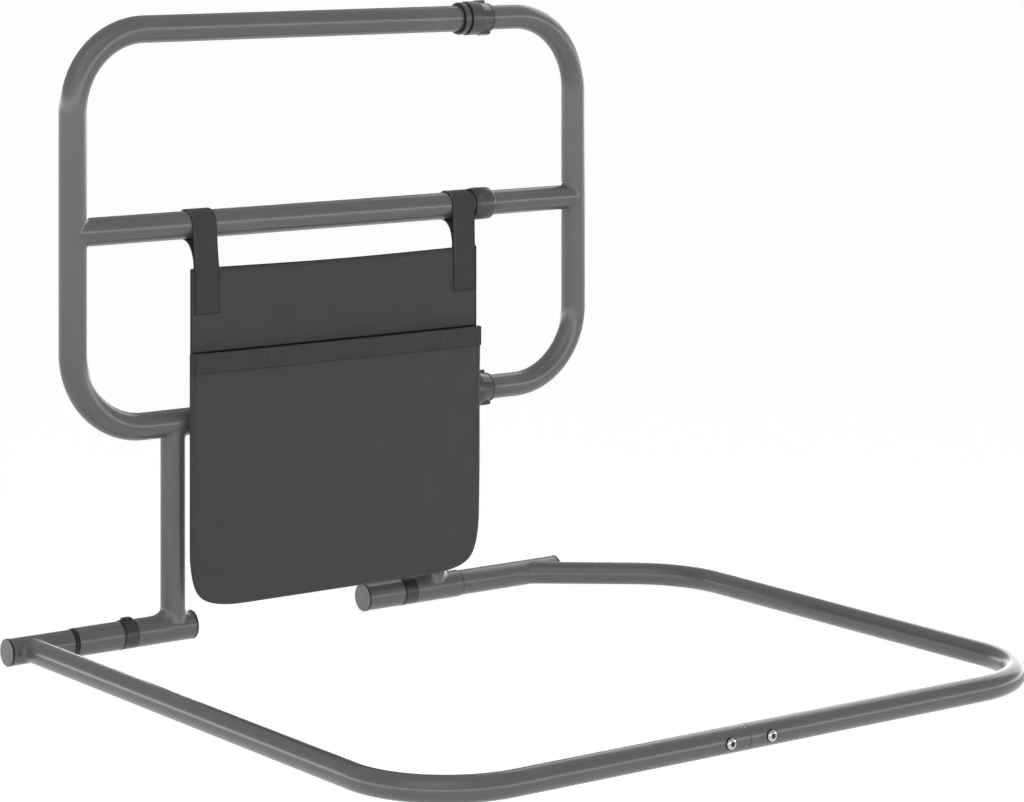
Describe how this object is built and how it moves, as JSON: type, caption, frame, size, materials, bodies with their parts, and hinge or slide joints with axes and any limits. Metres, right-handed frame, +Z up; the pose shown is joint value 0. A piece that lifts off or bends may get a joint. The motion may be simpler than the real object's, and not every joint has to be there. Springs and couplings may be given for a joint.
{
  "type": "bed rail",
  "caption": "Bed rail: a telescoping grab handle with level bars and a hanging cloth pouch, hinged on short posts to a flat U-shaped frame that goes under a mattress.",
  "frame": {"origin": "centre of the bottom of the object's box at rest", "axes": "+X along the rail from the fixed half to the sliding half, +Y away from the bed, +Z up; the frame under the mattress lies towards -Y"},
  "size_m": [0.7954, 0.7175, 0.6527],
  "materials": {
    "grey_enamel": "semi-gloss, with a fine orange peel",
    "grey_nylon": "moulded, finely textured",
    "black_plastic": "moulded, smooth",
    "moulded_cap": "moulded, satin",
    "zinc_plate": "bright zinc plating",
    "pouch_cloth": "woven polyester with a dull sheen",
    "webbing": "flat woven webbing"
  },
  "bodies": {
    "base": {"base_left_tube": "grey_enamel", "base_right_tube": "grey_enamel", "base_joiner_sleeve": "zinc_plate", "left_base_bolt": "zinc_plate", "right_base_bolt": "zinc_plate", "left_base_nut": "zinc_plate", "right_base_nut": "zinc_plate", "left_foot_tube": "grey_enamel", "right_foot_tube": "grey_enamel", "left_foot_liner": "black_plastic", "right_foot_liner": "black_plastic", "left_pivot_shaft": "zinc_plate", "right_pivot_shaft": "zinc_plate", "left_lock_sleeve": "grey_enamel", "right_lock_sleeve": "grey_enamel", "left_sleeve_liner": "black_plastic", "right_sleeve_liner": "black_plastic", "left_spacer_ring": "black_plastic", "left_foot_cap": "moulded_cap", "right_foot_cap": "moulded_cap", "right_sleeve_cap": "moulded_cap"},
    "rail": {"outer_handle_tube": "grey_enamel", "middle_sleeve_tube": "grey_enamel", "left_post": "grey_enamel", "right_post": "grey_enamel", "left_hinge_tee": "grey_enamel", "right_hinge_tee": "grey_enamel", "left_inboard_bushing": "black_plastic", "left_outboard_bushing": "black_plastic", "right_inboard_bushing": "black_plastic", "right_outboard_bushing": "black_plastic", "left_tee_cap": "moulded_cap", "middle_guide_collar": "grey_nylon", "middle_guide_ring": "black_plastic", "left_lock_collar": "grey_nylon", "right_lock_collar": "grey_nylon", "left_button_spring": "zinc_plate", "right_button_spring": "zinc_plate", "top_lock_washer": "black_plastic", "bottom_lock_washer": "black_plastic", "top_lock_base": "grey_nylon", "bottom_lock_base": "grey_nylon", "top_collet": "black_plastic", "bottom_collet": "black_plastic"},
    "extension": {"inner_handle_tube": "grey_enamel", "middle_inner_tube": "grey_enamel", "top_glide": "black_plastic", "middle_glide": "black_plastic", "bottom_glide": "black_plastic"},
    "top_nut": {"top_twist_nut": "grey_nylon"},
    "bottom_nut": {"bottom_twist_nut": "grey_nylon"},
    "left_button": {"left_release_button": "black_plastic"},
    "right_button": {"right_release_button": "black_plastic"},
    "pouch": {"pouch_back_panel": "pouch_cloth", "pouch_pocket": "pouch_cloth", "pouch_pocket_hem": "pouch_cloth", "left_pouch_strap": "webbing", "right_pouch_strap": "webbing"}
  },
  "joints": [
    {"name": "rail_fold", "type": "hinge", "parent": "base", "child": "rail", "pos_m": [-0.32238, 0.33964, 0.0146], "axis": [-1, 0, 0], "range_deg": [0, 180]},
    {"name": "handle_extend", "type": "slide", "parent": "rail", "child": "extension", "axis": [1, 0, 0], "range_m": [0, 0.29]},
    {"name": "top_nut_turn", "type": "hinge", "parent": "rail", "child": "top_nut", "pos_m": [0.17711, 0.33964, 0.6334], "axis": [1, 0, 0], "range_deg": [0, 90]},
    {"name": "bottom_nut_turn", "type": "hinge", "parent": "rail", "child": "bottom_nut", "pos_m": [0.17711, 0.33964, 0.2256], "axis": [1, 0, 0], "range_deg": [0, 90]},
    {"name": "left_button_press", "type": "slide", "parent": "rail", "child": "left_button", "axis": [0, 0, -1], "range_m": [0, 0.001], "stiffness_N_per_m": 900, "springref_m": -0.002, "deforming": ["left_button_spring"]},
    {"name": "right_button_press", "type": "slide", "parent": "rail", "child": "right_button", "axis": [0, 0, -1], "range_m": [0, 0.001], "stiffness_N_per_m": 900, "springref_m": -0.002, "deforming": ["right_button_spring"]},
    {"name": "pouch_swing", "type": "hinge", "parent": "rail", "child": "pouch", "pos_m": [-0.32238, 0.33964, 0.4291], "axis": [-1, 0, 0], "range_deg": [0, 80]}
  ]
}
